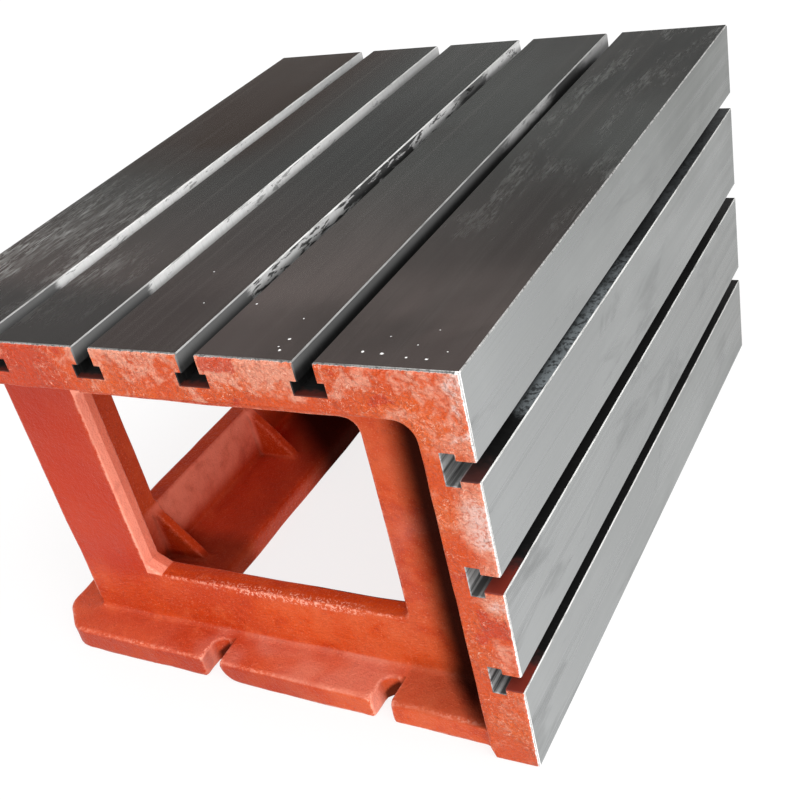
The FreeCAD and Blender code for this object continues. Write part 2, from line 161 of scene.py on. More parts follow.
def spaced(stops, planes, half=1.5):
    """Grid lines: zones as (start, step), ..., (end, None), with each plane in mid cell."""
    marks = [a for a, _ in stops]
    marks = [m for m in marks if all(abs(m - p) > half + 0.8 for p in planes)]
    marks += [p - half for p in planes] + [p + half for p in planes]
    marks = sorted(set(marks))
    out = []
    for a, b in zip(marks[:-1], marks[1:]):
        step = [t for c, t in stops if c <= (a + b) / 2.0][-1]
        n = max(1, int(math.ceil((b - a) / step - 0.2)))
        out.extend(np.linspace(a, b, n, endpoint=False))
    out.append(marks[-1])
    return np.array(out)


def surface_nets(f, xs, ys, zs):
    X, Y, Z = np.meshgrid(xs, ys, zs, indexing="ij")
    d = f(X, Y, Z)
    G = (xs, ys, zs)
    shape = tuple(n - 1 for n in d.shape)
    acc = np.zeros(shape + (3,))
    cnt = np.zeros(shape)
    quads = []
    store = []
    for ax in range(3):
        s0 = [slice(None)] * 3
        s1 = [slice(None)] * 3
        s0[ax] = slice(0, -1)
        s1[ax] = slice(1, None)
        a, b = d[tuple(s0)], d[tuple(s1)]
        idx = np.argwhere((a < 0) != (b < 0))
        da = a[tuple(idx.T)]
        db = b[tuple(idx.T)]
        t = da / (da - db)
        pos = np.stack([G[k][idx[:, k]] for k in range(3)], 1).astype(float)
        step = G[ax][idx[:, ax] + 1] - G[ax][idx[:, ax]]
        pos[:, ax] += t * step
        u, v = (ax + 1) % 3, (ax + 2) % 3
        cells = []
        for du, dv in ((0, 0), (-1, 0), (-1, -1), (0, -1)):
            c = idx.copy()
            c[:, u] += du
            c[:, v] += dv
            cells.append(c)
        ok = np.ones(len(idx), bool)
        for c in cells:
            for k in range(3):
                ok &= (c[:, k] >= 0) & (c[:, k] < shape[k])
        for c in cells:
            np.add.at(acc, tuple(c[ok].T), pos[ok])
            np.add.at(cnt, tuple(c[ok].T), 1.0)
        store.append((cells, ok, da < 0))
    live = cnt > 0
    ids = -np.ones(shape, np.int64)
    ids[live] = np.arange(int(live.sum()))
    verts = acc[live] / cnt[live][:, None]
    for cells, ok, inside in store:
        q = np.stack([ids[tuple(c[ok].T)] for c in cells], 1)
        flip = ~inside[ok]
        q[flip] = q[flip][:, ::-1]
        quads.append(q)
    return verts, np.concatenate(quads)


def settle(f, v, rounds=3):
    """Move points onto the surface, and return them with its normals."""
    e = 0.35
    g = None
    for k in range(rounds):
        g = np.stack([
            f(v[:, 0] + e, v[:, 1], v[:, 2]) - f(v[:, 0] - e, v[:, 1], v[:, 2]),
            f(v[:, 0], v[:, 1] + e, v[:, 2]) - f(v[:, 0], v[:, 1] - e, v[:, 2]),
            f(v[:, 0], v[:, 1], v[:, 2] + e) - f(v[:, 0], v[:, 1], v[:, 2] - e)], 1) / (2 * e)
        n2 = np.maximum((g * g).sum(1), 0.05)
        if k < rounds - 1:
            step = (f(v[:, 0], v[:, 1], v[:, 2]) / n2)[:, None] * g
            v = v - np.clip(step, -1.3, 1.3)
    return v, g / np.maximum(np.linalg.norm(g, axis=1), 1e-6)[:, None]


def new_mesh(name, verts, faces, mats, face_mat=None, smooth=None):
    me = bpy.data.meshes.new(name)
    me.from_pydata([tuple(p) for p in verts], [], [tuple(int(i) for i in q) for q in faces])
    for m in mats:
        me.materials.append(m)
    if face_mat is not None:
        me.polygons.foreach_set("material_index", np.asarray(face_mat, np.int32))
    if smooth is not None:
        me.polygons.foreach_set("use_smooth", np.asarray(smooth, bool))
    me.validate()
    me.update()
    ob = bpy.data.objects.new(name, me)
    bpy.context.scene.collection.objects.link(ob)
    return ob


# ---------------------------------------------------------------------------
# Materials
# ---------------------------------------------------------------------------
class Nodes:
    def __init__(self, name):
        self.mat = bpy.data.materials.new(name)
        self.mat.use_nodes = True
        self.t = self.mat.node_tree
        self.t.nodes.clear()
        self.out = self.t.nodes.new("ShaderNodeOutputMaterial")
        self.co = self.t.nodes.new("ShaderNodeTexCoord").outputs["Object"]

    def link(self, a, b):
        self.t.links.new(a, b)

    def node(self, kind, ins=None, **props):
        n = self.t.nodes.new(kind)
        for k, v in props.items():
            setattr(n, k, v)
        for k, v in (ins or {}).items():
            sock = n.inputs[k]
            if isinstance(v, bpy.types.NodeSocket):
                self.link(v, sock)
            else:
                sock.default_value = v
        return n

    def math(self, op, a, b=0.0, c=0.0, clamp=False):
        n = self.node("ShaderNodeMath", {0: a, 1: b, 2: c}, operation=op, use_clamp=clamp)
        return n.outputs[0]

    def mapped(self, scale, loc=(0, 0, 0)):
        return self.node("ShaderNodeMapping", {"Vector": self.co, "Scale": scale, "Location": loc}).outputs[0]

    def noise(self, vec, scale, detail=2.0, rough=0.5, dist=0.0, dims="3D"):
        n = self.node("ShaderNodeTexNoise", {"Vector": vec, "Scale": scale, "Detail": detail,
                                             "Roughness": rough, "Distortion": dist})
        return n.outputs["Fac"]

    def voronoi(self, vec, scale, feature="F1", rand=1.0):
        n = self.node("ShaderNodeTexVoronoi", {"Vector": vec, "Scale": scale, "Randomness": rand},
                      feature=feature)
        return n.outputs["Distance"]

    def ramp(self, fac, lo, hi, a=0.0, b=1.0, smooth=True):
        n = self.node("ShaderNodeMapRange", {"Value": fac, "From Min": lo, "From Max": hi,
                                             "To Min": a, "To Max": b},
                      interpolation_type="SMOOTHSTEP" if smooth else "LINEAR", clamp=True)
        return n.outputs["Result"]

    def mix(self, fac, a, b):
        n = self.node("ShaderNodeMix", data_type="RGBA")
        for sock, v in ((n.inputs[0], fac), (n.inputs[6], a), (n.inputs[7], b)):
            if isinstance(v, bpy.types.NodeSocket):
                self.link(v, sock)
            else:
                sock.default_value = v
        return n.outputs[2]

    def mixf(self, fac, a, b):
        n = self.node("ShaderNodeMix", data_type="FLOAT")
        for sock, v in ((n.inputs[0], fac), (n.inputs[2], a), (n.inputs[3], b)):
            if isinstance(v, bpy.types.NodeSocket):
                self.link(v, sock)
            else:
                sock.default_value = v
        return n.outputs[0]

    def xyz(self):
        n = self.node("ShaderNodeSeparateXYZ", {0: self.co})
        return n.outputs[0], n.outputs[1], n.outputs[2]

    def bump(self, height, dist, strength=1.0, normal=None):
        ins = {"Height": height, "Distance": dist, "Strength": strength}
        if normal is not None:
            ins["Normal"] = normal
        return self.node("ShaderNodeBump", ins).outputs[0]

    def done(self, shader):
        self.link(shader, self.out.inputs["Surface"])
        return self.mat


def srgb(r, g, b):
    def lin(c):
        c = c / 255.0
        return c / 12.92 if c <= 0.04045 else ((c + 0.055) / 1.055) ** 2.4
    return (lin(r), lin(g), lin(b), 1.0)


def cast_paint():
    """Red paint over a sand-cast skin: pebbles, thin spots on the edges with painted glints, painted shade in the
    corners and recesses, and painted light on a few faces that lie in shade.
    """
    N = Nodes("paint_cast")
    x, y, z = N.xyz()
    c = N.co
    big = N.noise(c, 7.5, 3.0, 0.55)
    mid = N.noise(c, 40.0, 4.0, 0.6)
    fine = N.noise(c, 185.0, 3.0, 0.65)
    grit = N.noise(c, 560.0, 2.0, 0.5)
    mul = lambda *a: a[0] if len(a) == 1 else N.math("MULTIPLY", a[0], mul(*a[1:]))
    col = N.mix(N.ramp(big, 0.34, 0.66), srgb(186, 57, 15), srgb(205, 75, 24))
    col = N.mix(N.ramp(mid, 0.50, 0.74, 0.0, 0.40), col, srgb(218, 100, 54))
    col = N.mix(N.ramp(mid, 0.46, 0.26, 0.0, 0.42), col, srgb(160, 40, 16))
    # darker fine specks are painted shade in the pits of the grain, lighter specks painted highlights on it
    col = N.mix(N.ramp(fine, 0.44, 0.28, 0.0, 0.34), col, srgb(136, 32, 14))
    col = N.mix(N.ramp(grit, 0.58, 0.72, 0.0, 0.34), col, srgb(240, 150, 118))
    ay = N.math("ABSOLUTE", y)
    deep = mul(N.ramp(x, -0.135, -0.175), N.ramp(z, 0.060, 0.110), N.ramp(ay, 0.3000, 0.3080))
    col = N.mix(N.math("MULTIPLY", deep, 0.80), col, srgb(174, 38, 6))
    warm = mul(N.ramp(x, -0.06, 0.04), N.ramp(ay, 0.3000, 0.3080), N.ramp(mid, 0.36, 0.56))
    col = N.mix(N.math("MULTIPLY", warm, 0.30), col, srgb(212, 104, 62))
    # a pale haze in soft patches, mostly on the top of the foot between the bolt slots
    outside = N.ramp(ay, 0.3085, 0.3110)
    haze = N.noise(N.mapped((17.0, 17.0, 17.0), (0.2, 0.4, 0.1)), 1.0, 2.0, 0.5)
    foot_top = mul(N.ramp(z, 0.0330, 0.0300), N.ramp(z, 0.0235, 0.0262), N.ramp(x, -0.19, -0.03), N.ramp(x, 0.150, 0.120))
    right = mul(N.ramp(x, 0.10, 0.16), N.ramp(z, 0.10, 0.16), N.ramp(z, 0.25, 0.20))
    haze = N.math("MULTIPLY", N.ramp(haze, 0.36, 0.66), N.math("ADD", N.math("MAXIMUM", N.math("MULTIPLY", foot_top, 0.34), N.math("MULTIPLY", right, 0.17)), 0.03))
    col = N.mix(N.math("MULTIPLY", haze, outside), col, srgb(218, 146, 128))
    dusty = mul(N.ramp(z, 0.0330, 0.0300), N.ramp(z, 0.0235, 0.0262), N.ramp(big, 0.3, 0.6, 0.5, 1.0))
    col = N.mix(N.math("MULTIPLY", dusty, 0.12), col, srgb(218, 146, 128))
    # painted light: the window's left jamb, the left flanks of the foot slots and the inner face of the left wall are
    # made paler, as if lit
    rear = N.math("ADD", N.math("MULTIPLY", N.ramp(ay, 0.2865, 0.2880), 0.50), N.math("MULTIPLY", N.ramp(ay, 0.2983, 0.2992), 0.50))
    jamb = mul(N.ramp(x, -0.1637, -0.1622), N.ramp(x, -0.1500, -0.1520), rear, N.ramp(z, 0.0955, 0.0970))
    facet = mul(N.ramp(x, -0.1637, -0.1622), N.ramp(x, -0.1425, -0.1440), rear, N.ramp(z, 0.1065, 0.1050), N.ramp(z, 0.0920, 0.0935))
    flank = N.ramp(x, 9.0, 10.0)
    # painted shade on the right flank and round end inside each foot slot
    slot_shade = N.ramp(x, 9.0, 10.0)
    for cx, cy in SLOTS:
        tilt = N.math("SUBTRACT", z, N.math("MULTIPLY", N.math("SUBTRACT", x, cx * MM), 0.75))
        one = mul(N.ramp(ay, (cy - 14.0) * MM, (cy - 12.5) * MM), N.ramp(ay, (cy + 2) * MM, (cy - 4) * MM),
                  N.ramp(x, (cx - 12.5) * MM, (cx - 9) * MM), N.ramp(x, (cx + 13) * MM, (cx + 12) * MM), N.ramp(tilt, 0.0225, 0.0165))
        slot_shade = N.math("MAXIMUM", slot_shade, one)
        one = mul(N.ramp(x, (cx - 12.6) * MM, (cx - 11.2) * MM), N.ramp(x, (cx + 4) * MM, (cx - 4) * MM),
                  N.ramp(ay, (cy - 7) * MM, (cy + 12) * MM))
        flank = N.math("MAXIMUM", flank, mul(one, N.ramp(z, 0.0275, 0.0262)))
    rail = mul(N.ramp(x, -0.2320, -0.2300), N.ramp(x, -0.2180, -0.2260), N.ramp(z, 0.102, 0.094), N.ramp(z, 0.028, 0.056),
               N.ramp(y, -0.25, -0.19), N.ramp(y, 0.03, -0.01))
    painted_light = N.math("MAXIMUM", N.math("MAXIMUM", jamb, facet), N.math("MULTIPLY", flank, 0.9))
    painted_light = N.math("MAXIMUM", painted_light, mul(rail, N.ramp(mid, 0.35, 0.60, 0.60, 0.78)))
    painted_light = N.math("MULTIPLY", painted_light, N.ramp(mid, 0.25, 0.5, 0.70, 0.95))
    col = N.mix(painted_light, col, srgb(254, 160, 134))
    # painted glints: pale specks along the front edge of the sill
    sill_glint = mul(N.ramp(ay, 0.3015, 0.3050), N.ramp(ay, 0.3150, 0.3125), N.ramp(z, 0.0840, 0.0885), N.ramp(z, 0.0975, 0.0950),
                N.ramp(x, -0.12, -0.03), N.ramp(x, 0.120, 0.085))
    sill_glint = N.math("MULTIPLY", sill_glint, N.ramp(N.noise(c, 420.0, 2.0, 0.55), 0.54, 0.60))
    col = N.mix(N.math("MULTIPLY", sill_glint, 0.62), col, srgb(250, 190, 168))
    # paint worn thin along the edges, partly painted glints there; painted shade in the inner corners
    point = N.node("ShaderNodeNewGeometry").outputs["Pointiness"]
    worn = N.math("MULTIPLY", N.ramp(point, 0.515, 0.565), N.ramp(N.math("ADD", fine, N.math("MULTIPLY", grit, 0.5)), 0.68, 0.84))
    worn = N.math("MULTIPLY", worn, N.ramp(ay, 0.284, 0.290, 0.30, 1.0))
    col = N.mix(N.math("MULTIPLY", worn, 0.72), col, srgb(250, 180, 156))
    corner_shade = N.ramp(point, 0.485, 0.44)
    col = N.mix(N.math("MULTIPLY", corner_shade, 0.45), col, srgb(96, 26, 14))
    # painted shadow in the nook behind the side plate, darkest towards the plate
    high = N.ramp(x, 0.172, 0.2055)
    slant = N.math("SUBTRACT", x, N.math("MULTIPLY", N.math("SUBTRACT", ay, 0.311), 0.9))
    low = N.math("MAXIMUM", N.ramp(x, 0.142, 0.150, 0.0, 0.20), N.ramp(slant, 0.168, 0.202))
    low = N.math("MULTIPLY", low, N.ramp(z, 0.0215, 0.0262))
    nook = N.mixf(N.ramp(z, 0.028, 0.050), low, high)
    nook = N.math("MULTIPLY", nook, N.ramp(x, 0.2165, 0.250, 1.0, 0.80))
    nook = N.math("MULTIPLY", nook, N.ramp(ay, 0.296, 0.308))
    nook = N.math("MULTIPLY", nook, N.ramp(x, 0.2535, 0.2520))
    # painted shade inside, towards the far end, and in the near corner of the inner flange
    run = N.math("ADD", y, N.math("MULTIPLY", N.math("ADD", x, 0.2), 0.95))
    flange = mul(N.ramp(run, -0.002, 0.084), N.ramp(z, 0.046, 0.034))
    wall = mul(N.ramp(y, -0.005, 0.10), N.ramp(z, 0.034, 0.046))
    inside = mul(N.math("MAXIMUM", flange, wall), N.ramp(x, -0.100, -0.130), N.ramp(x, -0.2295, -0.2275), N.ramp(y, 0.2880, 0.2860))
    corner = mul(N.ramp(y, -0.150, -0.186), N.ramp(y, -0.250, -0.216), N.ramp(z, 0.042, 0.032), N.ramp(x, -0.120, -0.136), N.ramp(x, -0.2295, -0.2275))
    # painted shade along the rear edges of the window's right jamb and sill
    rim = mul(N.ramp(ay, 0.2900, 0.2885), N.ramp(ay, 0.2862, 0.2872),
              N.math("MAXIMUM", mul(N.ramp(x, 0.1535, 0.1550), N.ramp(x, 0.1595, 0.1580), N.ramp(z, 0.090, 0.098)),
                     mul(N.ramp(x, 0.02, 0.05), N.ramp(z, 0.0905, 0.0915), N.ramp(z, 0.0965, 0.0955), N.ramp(x, 0.160, 0.156))))
    # all the painted shade together, mixed in as a near black red with rougher, less shiny paint
    painted_shade = N.math("MAXIMUM", N.math("MULTIPLY", nook, 0.975), N.math("MULTIPLY", inside, 0.965))
    painted_shade = N.math("MAXIMUM", painted_shade, N.math("MULTIPLY", corner, 0.5))
    painted_shade = N.math("MAXIMUM", painted_shade, N.math("MULTIPLY", rim, 0.85))
    painted_shade = N.math("MAXIMUM", painted_shade, N.math("MULTIPLY", slot_shade, 0.82))
    low_edge = mul(N.ramp(z, 0.0270, 0.0230), N.ramp(ay, 0.335, 0.345), N.ramp(x, 0.10, -0.02, 0.10, 0.55))
    col = N.mix(low_edge, col, srgb(150, 36, 8))
    col = N.mix(painted_shade, col, srgb(27, 7, 5))
    rough = N.ramp(mid, 0.3, 0.7, 0.30, 0.44, smooth=False)
    rough = N.mixf(painted_shade, rough, 0.92)
    h = N.math("MULTIPLY", mid, 1.1)
    h = N.math("ADD", h, N.math("MULTIPLY", fine, 1.30))
    h = N.math("ADD", h, N.math("MULTIPLY", grit, 0.70))
    p = N.node("ShaderNodeBsdfPrincipled", {"Base Color": col, "Roughness": rough,
                                            "Normal": N.bump(h, 0.001)})
    N.link(N.mixf(painted_shade, 0.16, 0.02), p.inputs["Specular IOR Level"])
    return N.done(p.outputs[0])


def end_paint_parts(N):
    """Thinner, glossier coat brushed over the sawn ends of the plates, paler in patches partly as a painted
    reflection, with painted highlights on its crests and grit.
    """
    x, y, z = N.xyz()
    c = N.co
    big = N.noise(c, 13.0, 2.0, 0.5, 0.2)
    mid = N.noise(c, 34.0, 3.0, 0.5, 0.4)
    wrink = N.noise(c, 165.0, 3.0, 0.55, 0.7)
    skin = N.noise(c, 300.0, 3.0, 0.6, 0.4)
    grit = N.noise(c, 620.0, 2.0, 0.5)
    ay = N.math("ABSOLUTE", y)
    end = N.ramp(ay, 0.3722, 0.3736)
    col = N.mix(N.ramp(big, 0.38, 0.62), srgb(199, 72, 20), srgb(211, 90, 33))
    left = N.ramp(x, -0.05, -0.12)
    col = N.mix(N.math("MULTIPLY", left, 0.75), col, srgb(186, 52, 14))
    # thin coat in soft patches, paler towards the planed faces as a painted reflection, full at the foot of the side
    # plate
    in_leg = N.math("MULTIPLY", N.ramp(z, 0.360, 0.340), N.ramp(x, 0.250, 0.252))
    leg = N.math("MULTIPLY", N.ramp(x, 0.262, 0.288), N.ramp(z, 0.085, 0.130, 0.05, 0.50))
    band = N.math("MULTIPLY", N.math("MULTIPLY", N.ramp(z, 0.235, 0.265), N.ramp(z, 0.310, 0.282)), N.ramp(x, 0.266, 0.290))
    leg = N.math("ADD", leg, N.math("MULTIPLY", band, 0.56))
    top = N.math("ADD", N.ramp(z, 0.374, 0.408, 0.04, 0.54), N.math("MULTIPLY", N.ramp(x, 0.262, 0.294), 0.46))
    top = N.math("SUBTRACT", top, N.math("MULTIPLY", left, 0.42))
    thin_coat_and_sheen = N.mixf(in_leg, top, leg)
    swell = N.ramp(in_leg, 0.0, 1.0, 1.5, 1.0)
    patch = N.math("ADD", N.math("MULTIPLY", N.math("SUBTRACT", big, 0.5), 1.5), N.math("MULTIPLY", N.math("SUBTRACT", mid, 0.5), 1.9))
    patch = N.math("MULTIPLY", patch, swell)
    dab = N.noise(c, 82.0, 3.0, 0.55, 0.8)
    patch = N.math("ADD", patch, N.math("MULTIPLY", N.math("SUBTRACT", dab, 0.5), N.ramp(in_leg, 0.0, 1.0, 2.6, 0.9)))
    thin_coat_and_sheen = N.math("ADD", thin_coat_and_sheen, patch)
    thin_coat_and_sheen = N.math("ADD", thin_coat_and_sheen, N.math("MULTIPLY", N.math("SUBTRACT", skin, 0.5), 0.35))
    pale = N.ramp(thin_coat_and_sheen, 0.02, 0.85)
    col = N.mix(N.math("MULTIPLY", N.math("MULTIPLY", pale, 0.92), end), col, srgb(219, 142, 116))
    palest = N.math("MULTIPLY", N.ramp(thin_coat_and_sheen, 0.66, 1.00), N.ramp(x, 0.270, 0.294))
    palest = N.math("MULTIPLY", palest, N.ramp(skin, 0.36, 0.58, 0.40, 1.0))
    col = N.mix(N.math("MULTIPLY", palest, 0.85), col, srgb(222, 186, 177))
    # full red patches with a fairly sharp border
    red_full = N.math("MULTIPLY", N.ramp(mid, 0.375, 0.350), N.ramp(thin_coat_and_sheen, 0.45, 0.25))
    ragged = N.math("MULTIPLY", N.math("SUBTRACT", wrink, 0.5), 0.006)
    daub = N.math("MULTIPLY", N.ramp(N.math("ADD", x, ragged), 0.0665, 0.0680), N.ramp(N.math("ADD", x, ragged), 0.1030, 0.1010))
    daub = N.math("MULTIPLY", daub, N.math("MULTIPLY", N.ramp(N.math("ADD", z, ragged), 0.4000, 0.4020), end))
    red_full = N.math("MAXIMUM", N.math("MULTIPLY", red_full, N.ramp(end, 0.0, 1.0, 0.25, 1.0)), daub)
    col = N.mix(N.math("MULTIPLY", red_full, 0.8), col, srgb(186, 52, 14))
    # leathery skin, with painted highlights as thin light crests where the coat is wrinkled
    col = N.mix(N.ramp(skin, 0.48, 0.34, 0.0, 0.42), col, srgb(184, 60, 22))
    zone = N.ramp(N.noise(c, 26.0, 2.0, 0.5), 0.42, 0.56, 0.20, 1.0)
    crest_highlight = N.ramp(N.math("ABSOLUTE", N.math("SUBTRACT", wrink, 0.5)), 0.022, 0.0)
    crest_highlight = N.math("MULTIPLY", N.math("MULTIPLY", crest_highlight, zone), N.ramp(skin, 0.40, 0.60))
    col = N.mix(N.math("MULTIPLY", N.math("MULTIPLY", crest_highlight, 0.62), end), col, srgb(246, 200, 178))
    # painted glints: small pale specks from the grit on the ends
    col = N.mix(N.math("MULTIPLY", N.ramp(grit, 0.60, 0.74, 0.0, 0.12), end), col, srgb(244, 190, 166))
    rough = N.ramp(mid, 0.3, 0.7, 0.26, 0.40, smooth=False)
    relief = N.math("MULTIPLY", zone, N.ramp(end, 0.0, 1.0, 1.1, 4.2))
    h = N.math("MULTIPLY", wrink, relief)
    h = N.math("ADD", h, N.math("MULTIPLY", skin, N.ramp(end, 0.0, 1.0, 0.8, 3.0)))
    h = N.math("ADD", h, N.math("MULTIPLY", grit, 0.35))
    h = N.math("ADD", h, N.math("MULTIPLY", mid, 0.8))
    return col, rough, N.bump(h, 0.001)


def end_paint():
    N = Nodes("paint_ends")
    col, rough, nrm = end_paint_parts(N)
    p = N.node("ShaderNodeBsdfPrincipled", {"Base Color": col, "Roughness": rough, "Normal": nrm})
    p.inputs["Specular IOR Level"].default_value = 0.20
    return N.done(p.outputs[0])


def planed(name, top):
    """Planed iron: fine lines along Y under a film of oil that lies in patches."""
    N = Nodes(name)
    x, y, z = N.xyz()
    lines = N.noise(N.mapped((760.0, 2.2, 760.0)), 1.0, 2.0, 0.7)
    broad = N.noise(N.mapped((85.0, 0.6, 85.0)), 1.0, 4.0, 0.65)
    cloud = N.noise(N.mapped((6.0, 3.4, 6.0), (0.3, 0.1, 0.7)), 1.0, 4.0, 0.58, 0.5)
    smear = N.noise(N.mapped((24.0, 6.0, 24.0), (1.3, 2.1, 0.7)), 1.0, 4.0, 0.6, 0.8)
    if top:
        near = N.ramp(y, 0.05, -0.36)
        col = N.mix(near, srgb(134, 138, 136), srgb(186, 170, 166))
        # slow changes of tone from land to land, as the surroundings lie on the metal
        yw = N.math("ADD", y, N.math("MULTIPLY", N.math("SUBTRACT", cloud, 0.5), 0.16))
        brown = N.math("MULTIPLY", N.ramp(x, -0.055, -0.19), N.ramp(yw, -0.06, 0.08))
        col = N.mix(N.math("MULTIPLY", brown, 0.9), col, srgb(106, 76, 56))
        tone = None
        for xa, xb, xc, xd, ya, yb, yc, yd, amount in (
                (0.050, 0.070, 0.175, 0.162, -0.33, -0.25, 0.42, 0.22, 0.46),
                (0.165, 0.180, 0.320, 0.300, -0.04, 0.05, 0.19, 0.11, 0.55),
                (0.165, 0.180, 0.320, 0.300, -0.35, -0.30, -0.21, -0.27, 0.30),
                (0.215, 0.250, 0.320, 0.300, 0.14, 0.30, 0.60, 0.50, -0.28),
                (0.215, 0.250, 0.320, 0.300, -0.24, -0.19, -0.05, -0.12, -0.18),
                (-0.070, -0.050, 0.070, 0.050, -0.60, -0.50, -0.22, -0.31, -0.28),
                (-0.070, -0.050, 0.070, 0.050, 0.10, 0.30, 0.60, 0.50, 0.22)):
            part = N.math("MULTIPLY", N.math("MULTIPLY", N.ramp(x, xa, xb), N.ramp(x, xc, xd)),
                          N.math("MULTIPLY", N.ramp(yw, ya, yb), N.ramp(yw, yc, yd, 0.0, amount)))
            tone = N.math("ADD", 1.0 if tone is None else tone, part)
        col = N.node("ShaderNodeVectorMath", {0: col, "Scale": tone}, operation="SCALE").outputs[0]
        col = N.mix(N.ramp(cloud, 0.56, 0.34, 0.0, 0.35), col, srgb(132, 127, 124))
        col = N.mix(N.ramp(broad, 0.5, 0.72, 0.0, 0.20), col, srgb(206, 202, 198))
        col = N.mix(N.ramp(lines, 0.5, 0.25, 0.0, 0.16), col, srgb(118, 112, 108))
        # rippled oil on the left lands, smeared oil with droplets on the right one; the near white crests of the
        # ripples are a painted sheen
        left = N.math("MULTIPLY", N.ramp(x, -0.160, -0.175), N.ramp(y, 0.02, -0.12))
        second = N.math("MULTIPLY", N.ramp(x, -0.070, -0.110), N.math("MULTIPLY", N.ramp(y, -0.16, -0.24), N.ramp(y, -0.355, -0.32)))
        left = N.math("MAXIMUM", left, N.math("MULTIPLY", second, 0.8))
        left = N.math("MULTIPLY", left, N.ramp(smear, 0.36, 0.62))
        right = N.math("MULTIPLY", N.ramp(x, 0.165, 0.20), N.ramp(y, -0.22, -0.06))
        right = N.math("MULTIPLY", right, N.ramp(smear, 0.46, 0.66))
        wet = N.math("MAXIMUM", left, N.math("MULTIPLY", right, 0.7))
        turned = N.node("ShaderNodeMapping", {"Vector": N.co, "Rotation": (0.0, 0.0, 0.2), "Scale": (330.0, 40.0, 330.0)})
        ripple = N.noise(turned.outputs[0], 1.0, 3.0, 0.62, 1.1)
        crest_highlight = N.math("MULTIPLY", N.ramp(ripple, 0.46, 0.62), wet)
        col = N.mix(N.math("MULTIPLY", crest_highlight, 0.78), col, srgb(240, 242, 240))
        col = N.mix(N.math("MULTIPLY", N.ramp(x, -0.04, -0.075), N.ramp(y, -0.24, -0.300, 0.0, 0.85)), col, srgb(138, 137, 136))
        rough = N.mixf(N.ramp(broad, 0.3, 0.7), 0.20, 0.27)
        rough = N.math("ADD", rough, N.math("MULTIPLY", crest_highlight, 0.20))
        rough = N.math("ADD", rough, N.math("MULTIPLY", wet, 0.04))
        # small bright chips of swarf near the front
        grain = N.noise(N.co, 700.0, 2.0, 0.6)
        chip = N.ramp(x, 9.0, 10.0)
        for cx, cy, cr in ((211, -354, 2.0), (228, -355, 2.3), (250, -358, 1.7), (267, -359, 1.8), (139, -359, 2.2),
                           (138, -342, 1.9), (20, -292, 1.2), (-7, -236, 1.3), (74, -290, 1.3), (133, -310, 1.2),
                           (135, -354, 1.0), (223, -330, 1.0), (251, -340, 0.9), (259, -317, 1.0), (279, -347, 0.9)):
            far = N.node("ShaderNodeVectorMath", {0: N.co, 1: (cx * MM, cy * MM, 0.415)}, operation="DISTANCE").outputs["Value"]
            far = N.math("ADD", far, N.math("MULTIPLY", N.math("SUBTRACT", grain, 0.5), 0.0026))
            chip = N.math("MAXIMUM", chip, N.ramp(far, cr * 0.80 * MM, cr * 0.40 * MM))
        col = N.mix(chip, col, srgb(250, 250, 248))
        metal = N.math("SUBTRACT", 1.0, N.math("MAXIMUM", chip, N.math("MULTIPLY", N.math("MULTIPLY", crest_highlight, left), 0.14)))
        h = N.math("ADD", N.math("MULTIPLY", lines, 0.02), N.math("MULTIPLY", broad, 0.05))
        h = N.math("ADD", h, N.math("MULTIPLY", N.math("MULTIPLY", ripple, wet), 0.20))
        ins = {"Base Color": col, "Roughness": rough, "Metallic": metal, "Normal": N.bump(h, 0.001)}
        p = N.node("ShaderNodeBsdfPrincipled", ins)
    else:
        film = N.ramp(y, -0.34, 0.36, 0.0, 1.0, smooth=False)
        film = N.math("POWER", film, 0.75)
        film = N.math("MULTIPLY", film, N.ramp(z, 0.28, 0.37, 0.72, 1.12), clamp=True)
        col = N.mix(film, srgb(169, 171, 171), srgb(95, 98, 95))
        col = N.mix(N.ramp(cloud, 0.44, 0.70, 0.0, 0.20), col, srgb(180, 182, 181))
        col = N.mix(N.ramp(broad, 0.5, 0.25, 0.0, 0.30), col, srgb(96, 98, 98))
        col = N.mix(N.ramp(broad, 0.55, 0.75, 0.0, 0.18), col, srgb(186, 188, 188))
        col = N.mix(N.ramp(lines, 0.5, 0.28, 0.0, 0.15), col, srgb(122, 124, 124))
        col = N.mix(N.ramp(smear, 0.54, 0.70, 0.0, 0.35), col, srgb(88, 90, 90))
        rough = N.mixf(N.ramp(broad, 0.3, 0.7), 0.24, 0.36)
        h = N.math("ADD", N.math("MULTIPLY", lines, 0.02), N.math("MULTIPLY", broad, 0.05))
        p = N.node("ShaderNodeBsdfPrincipled", {"Base Color": col, "Roughness": rough,
                                                "Normal": N.bump(h, 0.001)})
        p.inputs["Metallic"].default_value = 1.0
    return N.done(p.outputs[0])


